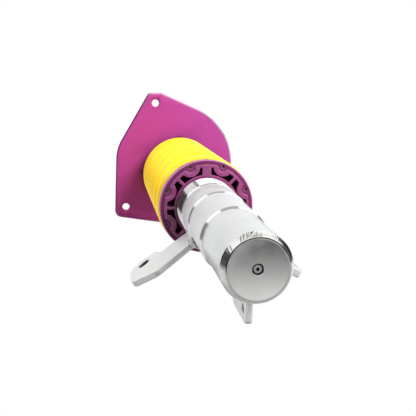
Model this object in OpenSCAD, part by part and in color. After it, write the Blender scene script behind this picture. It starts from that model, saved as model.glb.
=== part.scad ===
// Coilover strut of the clamp-in kind: a stepped strut tube with a knuckle spigot at its foot, a threaded
// spring perch, one coil spring, and a three-bolt top plate on a spherical bearing.
// Heights run up the strut axis from the lower face of the end cap. Azimuths run from +X towards +Y.

/* [Strut tube] */
// Diameter of the spigot that the knuckle clamps
spigot_od = 55; // [50:0.5:60]
// Wall of the strut tube
tube_wall = 3; // [2:0.25:4]
// Height of the tube's open end
tube_top = 320; // [314:1:326]
// Height at which the stepped sleeve starts
spigot_len = 86; // [80:1:96]

/* [Stepped sleeve] */
// Step in radius from the spigot up to the lower band
band_step = 1.9; // [1:0.1:3]
// Length of the lower band
band_len = 66.5; // [56:0.5:76]
// Step in radius from the lower band to the collar
collar_step = 1.2; // [0.6:0.1:2]
// Length of the collar
collar_len = 44.5; // [38:0.5:54]
// Step in radius from the collar to the thread
thread_step = 0.9; // [0.5:0.1:1.5]
// Height of the cone at each step
cone_h = 2.2; // [1:0.1:3]

/* [Foot] */
// Thickness of the end cap
cap_t = 14; // [12:0.5:18]
// Diameter of the end cap's face inside the weld
cap_face_d = 46.8; // [44:0.2:48]
// Depth of the dish turned into the end cap's face
dish_depth = 2.2; // [0.5:0.1:3]
// Height of the weld between cap and tube
foot_weld_h = 6; // [4:0.25:8]
// Diameter of the adjuster's recess in the cap
recess_d = 8.6; // [8:0.2:11]
// Height of the recess floor above the cap's rim
recess_depth = 7; // [6:0.5:9]
// Diameter of the adjuster's shank
needle_d = 5; // [4:0.25:6]
// Width across the flats of the hex sockets
hex_key = 2.5; // [2:0.5:3]

/* [Sway bar bracket] */
// Azimuth of the bracket
arm_azimuth = 145; // [135:0.5:155]
// Thickness of the bracket's plate
arm_t = 6; // [5:0.5:8]
// Distance of the link hole from the strut axis
arm_reach = 84; // [78:1:92]
// Height of the link hole
arm_hole_z = 188; // [182:1:194]
// Diameter of the link hole
arm_hole_d = 12.2; // [10.2:0.1:12.4]
// Radius of the eye around the link hole
arm_eye_r = 17; // [15:0.5:20]
// Height of the bracket's lower edge at the tube
arm_root_z = 151.5; // [148:0.5:156]
// Height of the bracket at the tube
arm_root_h = 38; // [30:1:42]
// Height of the bracket's lowest corner
arm_low_z = 141; // [136:1:146]
// Radius of the arm's bend at its lower edge
heel_r = 16; // [12:1:18]

/* [Clamp fin] */
// Thickness of the fin that lines up with the knuckle's slot
fin_t = 6; // [4:0.25:7]
// Distance of the fin's edge from the strut axis
fin_reach = 53; // [48:0.5:58]
// Height of the fin's lower edge
fin_z = 28; // [24:1:34]
// Height of the fin
fin_h = 56; // [50:1:57]
// Diameter of the fin's hole
fin_hole_d = 8; // [6.4:0.2:9]

/* [Hose bracket] */
// Azimuth of the hose bracket
hose_azimuth = 29.5; // [20:0.5:40]
// Thickness of the hose bracket
hose_t = 8; // [4:0.5:9]
// Distance of the hose bracket's edge from the strut axis
hose_reach = 68.2; // [60:0.2:74]
// Height of the hose bracket's lower edge
hose_z = 88.5; // [88:0.5:100]
// Height of the hose bracket
hose_h = 28; // [24:1:36]
// Diameter of the hole for the hose clip
hose_hole_d = 8.5; // [6.5:0.5:10]

/* [Damper] */
// Diameter of the piston rod
rod_d = 22; // [18:0.5:24]
// Diameter of the rod's threaded top
rod_neck_d = 16; // [14:0.5:17]
// Inner diameter of the pressure tube
pressure_id = 32.5; // [30:0.5:34]
// Wall of the pressure tube
pressure_wall = 1.75; // [1.25:0.25:2.5]
// Height of the base valve's foot under the pressure tube
valve_foot_h = 6; // [4:0.5:8]
// Length of the base valve's plug in the pressure tube
valve_plug_h = 14; // [10:1:18]
// Height of the rod guide in the strut tube
guide_h = 14; // [11:1:16]
// Length of the rod guide's plug in the pressure tube
guide_plug_h = 8; // [6:0.5:10]
// Height of the piston
piston_h = 22; // [18:1:26]
// Depth of the piston's groove from the piston's face
groove_depth = 1.5; // [1:0.1:2]
// Width of the land on each side of the piston's groove
land_h = 4; // [3:0.5:5]
// Width across the flats of the piston nut
piston_nut_af = 22; // [20:1:24]
// Height of the piston nut
piston_nut_h = 10; // [8:0.5:11]
// Length of the gland nut's threaded skirt
gland_len = 12; // [9:1:15]
// Length of the bump stop
bump_len = 30; // [24:1:32]
// How far the bump stop's widest ring stands out from the rod
bump_w = 12; // [10:0.5:13]
// Length of the dust tube
dust_len = 106; // [90:1:110]

/* [Spring perch] */
// Height of the perch's lowest face
perch_z = 232.5; // [230:0.5:236]
// Diameter of the perch
perch_od = 100.4; // [100:0.2:102]
// Height of the perch's ring with the raised ring under it
perch_h = 9; // [8:0.5:12]
// Height of the raised ring that the spanner grips
castle_h = 2; // [1.5:0.25:3]
// Distance from the perch's rim in to the rim of the raised ring
castle_step = 5.2; // [4.5:0.1:7]
// Number of spanner notches
notches = 8; // [6:1:10]
// Radius of each spanner notch
notch_r = 6; // [5:0.1:6.4]
// Wall around each spanner notch
notch_wall = 4.5; // [3.5:0.1:5]
// Distance from the perch's rim in to the perch screws
screw_inset = 4.1; // [3.8:0.1:4.8]
// Diameter of the perch screws
screw_d = 3; // [2.5:0.5:3]
// Wall of the perch's hub inside the windows
hub_wall = 3.1; // [2:0.1:4]
// Distance from the perch's rim in to the windows
window_inset = 7.7; // [7:0.1:9]
// Width of the ribs between the windows
rib_w = 3.1; // [2:0.1:4]
// Width of the solid rib that holds the lock screw
lock_rib_w = 9.4; // [8:0.2:11]
// Diameter of the lock screw
lock_screw_d = 4; // [3:0.5:4]
// Thickness of the steel plate on top of the ring
perch_plate_t = 2; // [1.5:0.25:3]
// Thickness of the slip ring under the spring
slip_t = 2; // [1.5:0.5:4]

/* [Main spring] */
// Diameter of the spring wire
wire_d = 12.4; // [11:0.1:13]
// Outer diameter of the spring
spring_od = 103.4; // [102:0.2:104]
// Length of the fitted spring
spring_len = 238; // [234:1:242]
// Number of turns, end to end
turns = 6.5; // [5:0.25:7]
// Share of a turn that lies flat at each end
flat_turns = 0.9; // [0.6:0.05:1.1]
// Azimuth at which the wire starts
wire_start = 251.5; // [0:0.5:360]

/* [Upper seat and thrust bearing] */
// Thickness of the seat's flange
seat_t = 5; // [4:0.5:7]
// Height of the hub below the flange
hub_h = 22; // [20:1:26]
// Diameter of the needle rollers
needle_roller_d = 2; // [2:0.25:3]
// Number of needle rollers
needle_rollers = 24; // [12:2:30]
// Thickness of each bearing washer
washer_t = 1.2; // [1:0.1:1.5]
// Outer diameter of the thrust bearing
thrust_od = 52; // [48:1:54]

/* [Spherical bearing] */
// Diameter of the ball
ball_d = 30; // [28:0.5:32]
// Width of the ball
ball_w = 22; // [21:0.5:23]
// Thickness of the liner around the ball
liner_t = 0.95; // [0.75:0.05:1.25]
// Width of the bearing's race
race_w = 18; // [16:0.5:19]
// Outer diameter of the race
race_od = 44; // [42:0.5:46]
// Length of the rebound knob's shank
knob_shank = 28; // [20:1:34]
// Height of the ball's lower face above the spacer's flange
spacer_neck_h = 10; // [8:0.2:12]
// Outer diameter of the bearing housing's boss
boss_od = 54; // [52:0.5:56]
// Diameter of the bearing housing's flange
housing_od = 93; // [90:1:96]
// Thickness of the bearing housing's flange
housing_t = 7; // [6:0.5:9]

/* [Top plate] */
// Thickness of the top plate
plate_t = 8; // [6:0.5:10]
// Diameter of the bolt circle
plate_pcd = 181; // [174:1:186]
// Diameter of each bolt hole
plate_hole_d = 10.5; // [8.5:0.1:11]
// Distance from each bolt hole to the straight sides of its lobe
lobe_r = 15.5; // [13:0.5:18]
// Radius of a lobe's rounded tip
tip_r = 10; // [8:1:12]
// Distance from the bolt hole to the cut on the lobe that is cut short
cut_reach = 14.2; // [13:0.1:16]
// Width of that cut with its two corners
cut_w = 23; // [18:1:26]
// Radius of the cut's corners
cut_corner_r = 4; // [2:0.5:6]
// Turn of the cut out of square
cut_turn = 12; // [0:1:20]
// Radius of the plate's round side
nose_r = 90.4; // [84:0.1:92]
// Radius of the turns that lead into that side
shoulder_r = 72; // [66:1:80]
// Reach of the plate's blunt corner from the bolt circle's centre
corner_reach = 79.1; // [76:0.1:82]
// Azimuth of the bolt hole opposite the blunt corner
plate_azimuth = 17; // [5:1:30]
// Azimuth of the camber slot
camber_azimuth = 46.5; // [35:0.5:60]
// Distance from each bolt hole in to where the plate's round side takes over from its lobe
lobe_root = 30; // [24:1:36]
// Distance of the strut axis from the bolt circle's centre
camber_offset = 14; // [12:0.5:18]
// Camber travel each way
camber_travel = 10; // [6:1:11]
// Diameter of the clamp screws
clamp_screw_d = 6; // [5:0.5:6]
// Distance of the clamp screws along the slot
clamp_along = 20; // [18:0.5:22]
// Distance of the clamp screws across the slot
clamp_across = 35; // [34:0.25:36]

/* [Fits] */
// Radial clearance of each running or seated fit
fit_gap = 0.05; // [0.02:0.01:0.1]
// Radial clearance of the perch's bore over the thread
thread_gap = 0.1; // [0.05:0.05:0.3]
// Clearance between parts that pass each other
pass_gap = 0.3; // [0.2:0.05:0.5]

/* [Hidden] */
$fn = 96;

spigot_r = spigot_od / 2;
tube_r = spigot_r - tube_wall;
band_r = spigot_r + band_step;
collar_r = band_r + collar_step;
thread_r = collar_r + thread_step;
band_z = spigot_len + band_len;
collar_z = band_z + collar_len;

face_r = cap_face_d / 2;
dish_r = face_r - 0.8;
needle_r = needle_d / 2;
pressure_r = pressure_id / 2;
pressure_foot = cap_t + valve_foot_h;
valve_top = pressure_foot + valve_plug_h;
guide_top = tube_top - gland_len - 4;
guide_shoulder = guide_top - guide_h;
guide_foot = guide_shoulder - guide_plug_h;
gland_top = tube_top + 4;

perch_bore = thread_r + thread_gap;
perch_r = perch_od / 2;
castle_r = perch_r - castle_step;
screw_r = perch_r - screw_inset;
window_r = perch_r - window_inset;
ring_top = perch_z + perch_h;
lock_z = (perch_z + castle_h + ring_top) / 2;
plate_top_of_perch = ring_top + perch_plate_t;
spring_foot = plate_top_of_perch + slip_t;
spring_head = spring_foot + spring_len;
wire_r = wire_d / 2;
coil_r = spring_od / 2 - wire_r;
// The wire's path is drawn with eight straight stretches a turn, which lie inside its circle.
coil_inner = (coil_r * 1.03) * cos(22.5) - wire_r;

hub_r = coil_inner - pass_gap;
dust_bore = thread_r + 1.6;
dust_r = dust_bore + 2;
seat_top = spring_head + seat_t;
pocket_floor = seat_top - 4;
thrust_r = thrust_od / 2;
rollers_z = pocket_floor + washer_t;
upper_washer_z = rollers_z + needle_roller_d;
spacer_z = upper_washer_z + washer_t;
spacer_flange_t = 3;

rod_r = rod_d / 2;
neck_r = rod_neck_d / 2;
hub_bore = rod_r + 1;
rebound_len = 20;
piston_top = guide_foot - pass_gap - rebound_len;
piston_foot = piston_top - piston_h;
tail_r = 7;
tail_foot = piston_foot - piston_nut_h - 2;

ball_r = ball_d / 2;
ball_foot = spacer_z + spacer_flange_t + spacer_neck_h;
ball_z = ball_foot + ball_w / 2;
ball_top = ball_foot + ball_w;
liner_r = ball_r + liner_t + fit_gap;
race_r = race_od / 2;
race_foot = ball_z - race_w / 2;
race_top = ball_z + race_w / 2;
housing_z = race_foot - 3;
plate_z = housing_z + housing_t;
plate_top = plate_z + plate_t;
boss_r = boss_od / 2;
boss_top = race_top + 3;
washer_top = ball_top + 3;
nut_top = washer_top + 14;
rod_top = nut_top + 5;
knob_top = rod_top + 14;
clamp_r = clamp_screw_d / 2;
clamp_washer_t = 1.6;

// Stations of the wire: height of its centre at each turn, close wound at both ends.
rings_a_turn = 8;
close_pitch = wire_d * 1.05;
ground = 0.2 * wire_d;
open_pitch = (spring_len - 2 * ground - 2 * flat_turns * close_pitch) / (turns - 2 * flat_turns);
wire_sides = 6;

// Height of the wire's centre above the spring's foot after t turns.
function wire_height(t) =
  t < flat_turns ? ground + t * close_pitch :
  t > turns - flat_turns ? spring_len - ground - (turns - t) * close_pitch :
  ground + flat_turns * close_pitch + (t - flat_turns) * open_pitch;
// The path's corners stand a little outside the true circle, so that its sides cross it.
wire_steps = round(turns * rings_a_turn);
wire_turns = [for (i = [0:wire_steps]) turns * i / wire_steps];
// Both ends are ground flat: no point lies below the foot or above the head.
wire_points = [for (t = wire_turns) for (j = [0:wire_sides - 1])
  let (a = wire_start + 360 * t, b = 360 * j / wire_sides, r = coil_r * 1.03 + wire_r * cos(b))
  [r * cos(a), r * sin(a), min(max(wire_height(t) + wire_r * sin(b), 0), spring_len)]];
wire_faces = concat(
  [for (i = [0:wire_steps - 1]) for (j = [0:wire_sides - 1])
    let (k = (j + 1) % wire_sides, n = i * wire_sides, m = n + wire_sides) [n + j, m + k, n + k]],
  [for (i = [0:wire_steps - 1]) for (j = [0:wire_sides - 1])
    let (k = (j + 1) % wire_sides, n = i * wire_sides, m = n + wire_sides) [n + j, m + j, m + k]],
  [for (j = [1:wire_sides - 2]) [0, j, j + 1]],
  [for (j = [1:wire_sides - 2]) let (n = wire_steps * wire_sides) [n, n + j + 1, n + j]]
);
// Least distance between points of the wire that are half a turn or more apart along it.
wire_gap = min([for (i = [0:wire_steps]) for (k = [i + rings_a_turn / 2:1:wire_steps])
  for (j = [0:wire_sides - 1]) for (l = [0:wire_sides - 1])
    norm(wire_points[i * wire_sides + j] - wire_points[k * wire_sides + l])]);
echo(least_gap_between_turns = wire_gap);

// A tube about the strut axis.
module ring(z, h, outer, inner) {
  translate([0, 0, z])
    difference() {
      cylinder(h = h, r = outer);
      translate([0, 0, -1]) cylinder(h = h + 2, r = inner);
    }
}

// A turned part: the outline's points are [radius, height].
module turned(outline) {
  rotate_extrude() polygon(outline);
}

// A hexagon prism that takes a key or a spanner of the given width across flats.
module hexagon(across, h) {
  cylinder(h = h, r = across / sqrt(3), $fn = 6);
}

// Puts its children at equal steps about the strut axis.
module around(count, radius, start = 0) {
  for (i = [0:count - 1])
    rotate(start + 360 * i / count) translate([radius, 0, 0]) children();
}

// Stands a plate drawn as [distance from the axis, height] upright on the strut axis.
module fin_plate(azimuth, thickness) {
  rotate(azimuth)
    translate([0, thickness / 2, 0])
      rotate([90, 0, 0])
        linear_extrude(thickness) children();
}

// Everything that the brackets are welded to, a hair larger than the steel itself.
module strut_outside() {
  cylinder(h = spigot_len, r = spigot_r + fit_gap);
  translate([0, 0, spigot_len - 0.01]) cylinder(h = band_len, r = band_r + fit_gap);
  translate([0, 0, band_z - 0.02])
    cylinder(h = cone_h, r1 = band_r + fit_gap, r2 = collar_r + fit_gap);
  translate([0, 0, band_z + cone_h - 0.03])
    cylinder(h = tube_top - band_z, r = collar_r + fit_gap);
}

module strut_tube() {
  color("gainsboro") ring(foot_weld_h, tube_top - foot_weld_h, spigot_r, tube_r);
}

module stepped_sleeve() {
  bore = spigot_r + fit_gap;
  top = tube_top - 2;
  color("silver") turned([
    [bore, spigot_len], [band_r - band_step * 0.9, spigot_len],
    [band_r, spigot_len + cone_h], [band_r, band_z], [collar_r, band_z + cone_h], [collar_r, collar_z],
    [thread_r, collar_z + cone_h], [thread_r, top - 1], [thread_r - 1, top], [bore, top]
  ]);
}

// The cap's face is dished: its height falls off with the square of the radius.
function dish(r) = dish_depth * (1 - pow(r / dish_r, 2));

module end_cap() {
  cap_r = tube_r - fit_gap;
  step = dish_r / 6;
  color("darkgray") difference() {
    turned(concat(
      [for (i = [0:6]) [i * step, dish(i * step)]],
      [[face_r - 0.4, 0], [face_r, 0.4], [face_r, foot_weld_h], [cap_r, foot_weld_h], [cap_r, cap_t], [0, cap_t]]
    ));
    translate([0, 0, -1]) cylinder(h = recess_depth + 1, d = recess_d);
    translate([0, 0, -1]) cylinder(h = cap_t + 2, r = needle_r + fit_gap);
  }
}

module foot_weld() {
  bore = face_r + fit_gap;
  color("lightgray") turned([
    [bore, 0.5], [face_r + 1.9, 0.6], [spigot_r - 0.6, foot_weld_h * 0.6], [spigot_r, foot_weld_h],
    [bore, foot_weld_h]
  ]);
}

module compression_adjuster() {
  head_foot = dish_depth + 1;
  head_top = recess_depth - 0.2;
  color("dimgray") difference() {
    union() {
      translate([0, 0, head_foot]) cylinder(h = head_top - head_foot, r = recess_d / 2 - 1.2);
      translate([0, 0, head_top - 0.01]) cylinder(h = pressure_foot + valve_plug_h * 0.3 - head_top, r = needle_r);
    }
    translate([0, 0, head_foot - 1]) hexagon(hex_key, 1 + 3);
  }
}

module pressure_tube() {
  color("silver") ring(pressure_foot, guide_shoulder - pressure_foot, pressure_r + pressure_wall, pressure_r);
}

module base_valve() {
  color("goldenrod") difference() {
    turned([
      [0, cap_t], [pressure_r + pressure_wall + 2, cap_t], [pressure_r + pressure_wall + 2, pressure_foot],
      [pressure_r - fit_gap, pressure_foot], [pressure_r - fit_gap, valve_top], [0, valve_top]
    ]);
    translate([0, 0, cap_t - 1]) cylinder(h = pressure_foot + valve_plug_h / 2 - cap_t, r = needle_r + fit_gap);
    around(6, pressure_r * 0.6) translate([0, 0, cap_t + valve_foot_h / 2])
      cylinder(h = valve_top - cap_t, r = pressure_r * 0.1);
  }
}

module rod_guide() {
  color("gray") turned([
    [rod_r + 1.5 + fit_gap, guide_foot], [pressure_r - fit_gap, guide_foot],
    [pressure_r - fit_gap, guide_shoulder], [tube_r - fit_gap, guide_shoulder],
    [tube_r - fit_gap, guide_top], [rod_r + 1.5 + fit_gap, guide_top]
  ]);
}

module guide_bush() {
  color("peru") ring(guide_foot + 1, guide_top - guide_foot - 2, rod_r + 1.5, rod_r + fit_gap);
}

module rod_seal() {
  color("black") ring(guide_top, 4, tube_r - 2, rod_r + fit_gap);
}

module gland_nut() {
  color("dimgray") difference() {
    turned([
      [rod_r + 1, tube_top - gland_len], [tube_r - fit_gap, tube_top - gland_len], [tube_r - fit_gap, tube_top],
      [spigot_r, tube_top], [spigot_r, gland_top - 1], [spigot_r - 1, gland_top], [rod_r + 1, gland_top]
    ]);
    around(4, tube_r - 4) translate([0, 0, gland_top - 4]) cylinder(h = 5, d = 4);
  }
}

// Outline of the sway bar bracket: an arm from the tube, and the head around the link hole.
module arm_outline() {
  heel = arm_reach - 12;
  hull() {
    translate([band_r - 4, arm_root_z]) square([8, arm_root_h]);
    translate([heel, arm_low_z + heel_r + 1]) circle(r = heel_r, $fn = 96);
    translate([heel - 3, arm_hole_z - 5]) circle(r = 3, $fn = 32);
  }
  hull() {
    translate([heel, arm_low_z + heel_r + 1]) circle(r = heel_r, $fn = 96);
    translate([arm_reach + arm_eye_r - 9, arm_low_z + 21]) circle(r = 9, $fn = 32);
    translate([arm_reach, arm_hole_z - 3]) circle(r = arm_eye_r, $fn = 32);
    translate([heel, arm_hole_z + 7]) circle(r = 5, $fn = 32);
  }
}

module sway_bar_bracket() {
  color("whitesmoke") difference() {
    fin_plate(arm_azimuth, arm_t) arm_outline();
    rotate(arm_azimuth) translate([arm_reach, arm_t, arm_hole_z])
      rotate([90, 0, 0]) cylinder(h = 2 * arm_t, d = arm_hole_d);
    strut_outside();
  }
}

// Outline of the fin that stands in the knuckle's slot.
module fin_outline() {
  hull() {
    translate([spigot_r - 3, fin_z]) square([4, fin_h]);
    translate([fin_reach - 6, fin_z + 6]) circle(r = 6, $fn = 32);
    translate([fin_reach - 11, fin_z + fin_h - 13]) circle(r = 10, $fn = 32);
  }
}

module clamp_fin() {
  hole_x = (spigot_r + fin_reach) / 2 + 2.5;
  color("whitesmoke") difference() {
    fin_plate(90, fin_t) fin_outline();
    translate([fin_t, hole_x, fin_z + 12]) rotate([0, -90, 0]) cylinder(h = 2 * fin_t, d = fin_hole_d);
    strut_outside();
  }
}

// Outline of the bracket that carries the brake hose.
module hose_outline() {
  hull() {
    translate([band_r - 3, hose_z]) square([4, hose_h]);
    translate([hose_reach - 2, hose_z + 2]) circle(r = 2, $fn = 32);
    translate([hose_reach - 8, hose_z + hose_h - 8]) circle(r = 8, $fn = 32);
  }
}

module hose_bracket() {
  color("whitesmoke") difference() {
    fin_plate(hose_azimuth, hose_t) hose_outline();
    rotate(hose_azimuth) translate([hose_reach - 11, hose_t, hose_z + hose_h / 2])
      rotate([90, 0, 0]) cylinder(h = 2 * hose_t, d = hose_hole_d);
    strut_outside();
  }
}

// One bead of weld, laid upright in the corner between a bracket and the tube.
module bead(azimuth, thickness, corner_r, z, h, r) {
  for (side = [-1, 1])
    rotate(azimuth) translate([corner_r, side * (thickness / 2 + r * 0.4), z]) {
      cylinder(h = h, r = r, $fn = 24);
      sphere(r = r, $fn = 24);
      translate([0, 0, h]) sphere(r = r, $fn = 24);
    }
}

// The short bead that closes the lower end of a bracket.
module end_bead(azimuth, thickness, corner_r, z, r) {
  rotate(azimuth) translate([corner_r, 0, z])
    rotate([90, 0, 0]) cylinder(h = thickness + 2 * r, r = r, center = true, $fn = 24);
}

// A bracket's plate with room around it, cut out of its welds.
module weld_room(azimuth, thickness) {
  fin_plate(azimuth, thickness + 2 * fit_gap) offset(delta = fit_gap) children();
}

module bracket_welds() {
  arm_foot = arm_root_z + 3;
  color("lightgray") difference() {
    union() {
      bead(arm_azimuth, arm_t, band_r + 1.2, arm_foot, arm_root_h - 6, 2.6);
      end_bead(arm_azimuth, arm_t, band_r + 1.2, arm_foot - 4, 2.8);
      bead(90, fin_t, spigot_r + 0.6, fin_z + 3, fin_h - 6, 2);
      bead(hose_azimuth, hose_t, band_r + 0.6, hose_z + 3, hose_h - 6, 2.2);
    }
    weld_room(arm_azimuth, arm_t) arm_outline();
    weld_room(90, fin_t) fin_outline();
    weld_room(hose_azimuth, hose_t) hose_outline();
    strut_outside();
  }
}

// Lower face of the raised ring: a disc with a round spanner notch at each perch screw.
module castle_outline() {
  difference() {
    circle(r = castle_r);
    around(notches, screw_r, 180 / notches) circle(r = notch_r);
  }
}

// Windows between the hub and the raised ring, with a rib between two notches and a wall at each notch.
module window_outline() {
  difference() {
    circle(r = window_r);
    circle(r = perch_bore + hub_wall);
    around(notches, screw_r, 180 / notches) circle(r = notch_r + notch_wall);
    for (i = [0:notches - 1]) {
      w = i == 0 ? lock_rib_w : rib_w;
      rotate(360 * i / notches - 90) translate([0, -w / 2]) square([perch_r, w]);
    }
  }
}

module perch_ring() {
  flange_z = perch_z + castle_h;
  color("purple") difference() {
    union() {
      translate([0, 0, perch_z]) linear_extrude(castle_h + 0.01) castle_outline();
      turned([
        [0, flange_z], [perch_r - 0.8, flange_z], [perch_r, flange_z + 0.8], [perch_r, ring_top], [0, ring_top]
      ]);
    }
    translate([0, 0, perch_z - 1]) cylinder(h = perch_h + 2, r = perch_bore);
    translate([0, 0, perch_z - 1]) linear_extrude(perch_h - 0.5) window_outline();
    around(notches, screw_r, 180 / notches) translate([0, 0, perch_z])
      cylinder(h = perch_h + 1, d = screw_d + 2 * fit_gap);
    translate([0, 2 - perch_bore, lock_z]) rotate([90, 0, 0])
      cylinder(h = perch_r, d = lock_screw_d + 2 * fit_gap);
  }
}

module perch_plate() {
  color("dimgray") difference() {
    ring(ring_top, perch_plate_t, perch_r - 0.6, perch_bore + 2);
    around(notches, screw_r, 180 / notches) translate([0, 0, ring_top - 1])
      cylinder(h = perch_plate_t + 2, d = screw_d + 2 * fit_gap);
  }
}

module perch_screws() {
  foot = perch_z + castle_h + 0.8;
  color("dimgray") around(notches, screw_r, 180 / notches)
    translate([0, 0, foot]) difference() {
      cylinder(h = plate_top_of_perch - foot, d = screw_d);
      translate([0, 0, -1]) hexagon(1.5, 2.5);
    }
}

module perch_lock_screw() {
  inner = perch_bore + 0.6;
  color("dimgray")
    translate([0, -inner, lock_z]) rotate([90, 0, 0]) difference() {
      cylinder(h = perch_r - inner - 1.5, d = lock_screw_d);
      translate([0, 0, perch_r - inner - 4]) hexagon(2, 6);
    }
}

module slip_ring() {
  color("black") turned([
    [perch_bore + 4, plate_top_of_perch], [perch_r - 0.3, plate_top_of_perch],
    [perch_r - 0.3, spring_foot], [perch_bore + 4, spring_foot]
  ]);
}

module main_spring() {
  color("gold") translate([0, 0, spring_foot]) polyhedron(wire_points, wire_faces);
}

module upper_seat() {
  neck_foot = spring_head - hub_h;
  step = neck_foot + 14;
  cavity_r = dust_bore - 5;
  color("dimgray") difference() {
    turned([
      [hub_bore, spring_head - 3], [cavity_r, spring_head - 3], [cavity_r, neck_foot],
      [dust_bore - fit_gap, neck_foot], [dust_bore - fit_gap, step], [hub_r, step], [hub_r, spring_head],
      [perch_r, spring_head], [perch_r, seat_top - 1], [perch_r - 1, seat_top], [hub_bore, seat_top]
    ]);
    translate([0, 0, pocket_floor]) cylinder(h = 5, r = thrust_r + 0.5);
  }
}

module dust_tube() {
  color("black") ring(spring_head - hub_h + 13 - dust_len, dust_len, dust_r, dust_bore);
}

module thrust_washer_lower() {
  color("silver") ring(pocket_floor, washer_t, thrust_r, rod_r + 1);
}

module needle_slots(gap) {
  around(needle_rollers, thrust_r - 6)
    translate([-4 - gap, 0, rollers_z + needle_roller_d / 2])
      rotate([0, 90, 0]) cylinder(h = 8 + 2 * gap, d = needle_roller_d - 2 * fit_gap + 2 * gap, $fn = 24);
}

module needle_cage() {
  cage_t = needle_roller_d - 0.6;
  color("goldenrod") difference() {
    ring(rollers_z + 0.3, cage_t, thrust_r - 0.5, rod_r + 1.5);
    needle_slots(0.1);
  }
}

module needle_rollers() {
  color("silver") needle_slots(0);
}

module thrust_washer_upper() {
  color("silver") ring(upper_washer_z, washer_t, thrust_r, rod_r + 1);
}

module bearing_spacer() {
  bore = neck_r + fit_gap;
  top_r = sqrt(pow(ball_r, 2) - pow(ball_w / 2, 2)) - 0.4;
  color("silver") turned([
    [bore, spacer_z], [thrust_r - 1, spacer_z], [thrust_r - 1, spacer_z + spacer_flange_t],
    [top_r + 2, spacer_z + spacer_flange_t + 1], [top_r, spacer_z + spacer_flange_t + 4],
    [top_r, ball_foot], [bore, ball_foot]
  ]);
}

module piston_rod() {
  color("silver") difference() {
    turned([
      [0, tail_foot], [tail_r, tail_foot], [tail_r, piston_top], [rod_r, piston_top], [rod_r, spacer_z],
      [neck_r, spacer_z], [neck_r, rod_top - 1], [neck_r - 1, rod_top], [0, rod_top]
    ]);
    translate([0, 0, rod_top - knob_shank - 2]) cylinder(h = knob_shank + 3, r = 3 + fit_gap);
  }
}

module piston() {
  color("gray") difference() {
    ring(piston_foot, piston_h, pressure_r - 0.5, tail_r + fit_gap);
    ring(piston_foot + land_h, piston_h - 2 * land_h, pressure_r + 1, pressure_r - groove_depth);
    around(6, (tail_r + pressure_r) / 2 - 0.5)
      translate([0, 0, piston_foot - 1]) cylinder(h = piston_h + 2, r = groove_depth);
  }
}

module piston_band() {
  color("saddlebrown")
    ring(piston_foot + land_h, piston_h - 2 * land_h, pressure_r - fit_gap, pressure_r - groove_depth);
}

module piston_nut() {
  color("dimgray") translate([0, 0, tail_foot + 2]) difference() {
    hexagon(piston_nut_af, piston_nut_h);
    translate([0, 0, -1]) cylinder(h = piston_nut_h + 2, r = tail_r + fit_gap);
  }
}

module rebound_stop() {
  color("black") ring(piston_top, rebound_len, pressure_r - 2, rod_r + fit_gap);
}

module bump_stop() {
  head = spring_head - 3 - pass_gap;
  foot = head - bump_len;
  color("khaki") turned([
    [rod_r + fit_gap, foot], [rod_r + bump_w * 0.35, foot], [rod_r + bump_w * 0.6, foot + bump_len * 0.2],
    [rod_r + bump_w * 0.75, foot + bump_len * 0.4], [rod_r + bump_w * 0.6, foot + bump_len * 0.55],
    [rod_r + bump_w, foot + bump_len * 0.8], [rod_r + bump_w, head], [rod_r + fit_gap, head]
  ]);
}

// A ball, or a shell between two spheres, cut off flat above and below.
module ball_zone(outer, inner, width) {
  translate([0, 0, ball_z])
    difference() {
      intersection() {
        sphere(r = outer);
        translate([0, 0, -width / 2]) cylinder(h = width, r = outer + 1);
      }
      sphere(r = inner);
    }
}

module bearing_ball() {
  color("silver") translate([0, 0, ball_z])
    difference() {
      intersection() {
        sphere(r = ball_r);
        translate([0, 0, -ball_w / 2]) cylinder(h = ball_w, r = ball_r + 1);
      }
      translate([0, 0, -ball_w]) cylinder(h = 2 * ball_w, r = neck_r + fit_gap);
    }
}

module bearing_liner() {
  color("ivory") ball_zone(liner_r, ball_r + fit_gap, race_w - 2);
}

module bearing_race() {
  color("darkgray") difference() {
    ring(race_foot, race_w, race_r - fit_gap, 1);
    translate([0, 0, ball_z]) sphere(r = liner_r + fit_gap);
  }
}

// Places its children at the four clamp screws.
module at_clamp_screws() {
  rotate(camber_azimuth)
    for (a = [-1, 1]) for (b = [-1, 1])
      translate([a * clamp_along, b * clamp_across, 0]) children();
}

module bearing_housing() {
  color("dimgray") difference() {
    turned([
      [race_r - 4, housing_z], [housing_od / 2 - 1, housing_z], [housing_od / 2, housing_z + 1],
      [housing_od / 2, plate_z], [boss_r, plate_z], [boss_r, boss_top - 1], [boss_r - 1, boss_top],
      [race_r, boss_top], [race_r, boss_top - 0.8], [race_r + 1.5, boss_top - 0.8], [race_r + 1.5, race_top],
      [race_r, race_top], [race_r, race_foot], [race_r - 4, race_foot]
    ]);
    at_clamp_screws() translate([0, 0, housing_z + 1]) cylinder(h = housing_t, r = clamp_r + fit_gap);
  }
}

module snap_ring() {
  color("black") difference() {
    ring(race_top + fit_gap, 3 - 0.8 - 2 * fit_gap, race_r + 1.4, race_r - 2);
    rotate(camber_azimuth) translate([race_r - 4, -4, race_top - 1]) cube([8, 8, 5]);
  }
}

module clamp_screws() {
  head_foot = plate_top + clamp_washer_t;
  color("dimgray") at_clamp_screws() difference() {
    union() {
      translate([0, 0, housing_z + 1.5]) cylinder(h = head_foot - housing_z - 1.5, r = clamp_r);
      translate([0, 0, head_foot]) cylinder(h = clamp_screw_d, r = clamp_r * 1.65);
    }
    translate([0, 0, head_foot + clamp_screw_d / 2]) hexagon(clamp_screw_d * 0.8, clamp_screw_d);
  }
}

module clamp_washers() {
  color("silver") at_clamp_screws() ring(plate_top, clamp_washer_t, clamp_r * 2.1, clamp_r + fit_gap);
}

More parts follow.
